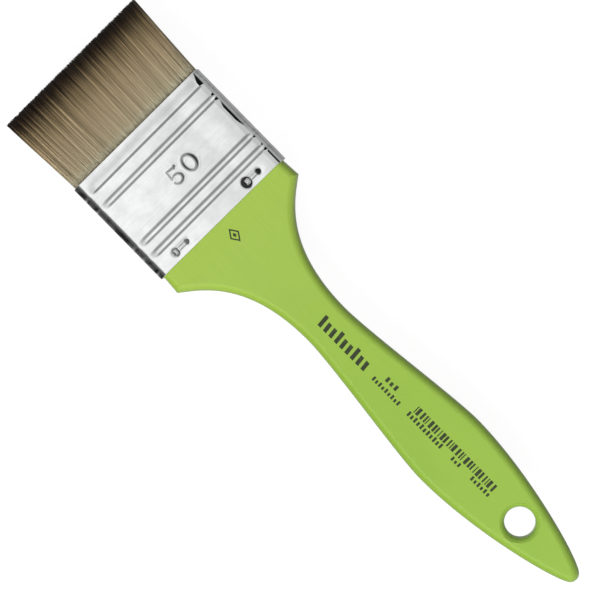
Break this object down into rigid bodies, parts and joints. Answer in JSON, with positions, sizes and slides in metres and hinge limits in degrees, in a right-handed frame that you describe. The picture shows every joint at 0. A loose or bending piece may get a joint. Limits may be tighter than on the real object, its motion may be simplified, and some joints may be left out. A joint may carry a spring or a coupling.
{
  "type": "flat paint brush",
  "caption": "Wide flat paint brush: lacquered wooden handle with a hanging hole, grooved tinplate ferrule nailed to it, and a straight-cut tuft of fine synthetic bristles.",
  "frame": {"origin": "centre of the ferrule's flat back face, which is where the brush rests when it lies on its back", "axes": "+Y from the handle towards the bristle tips, +X across the width towards the lap seam, +Z out of the front face"},
  "size_m": [0.0522, 0.2091, 0.0104],
  "materials": {
    "lacquered_wood": "satin yellow-green lacquer over fine-grained hardwood",
    "tinplate": "bright rolled tinplate with faint draw lines",
    "nail_wire": "dull drawn wire",
    "epoxy": "hardened amber resin",
    "bristle": "fine tapered synthetic filaments, beige at the ferrule and dark brown at the tips"
  },
  "bodies": {
    "brush": {"handle": "lacquered_wood", "ferrule": "tinplate", "ferrule_nails": "nail_wire", "epoxy_set": "epoxy", "bristle_roots": "bristle"},
    "tuft": {"bristle_tuft": "bristle"}
  },
  "joints": [
    {"name": "tuft_flex", "type": "hinge", "parent": "brush", "child": "tuft", "pos_m": [0, 0.019, 0.00475], "axis": [1, 0, 0], "range_deg": [-30, 30], "stiffness_Nm_per_rad": 0.05}
  ]
}
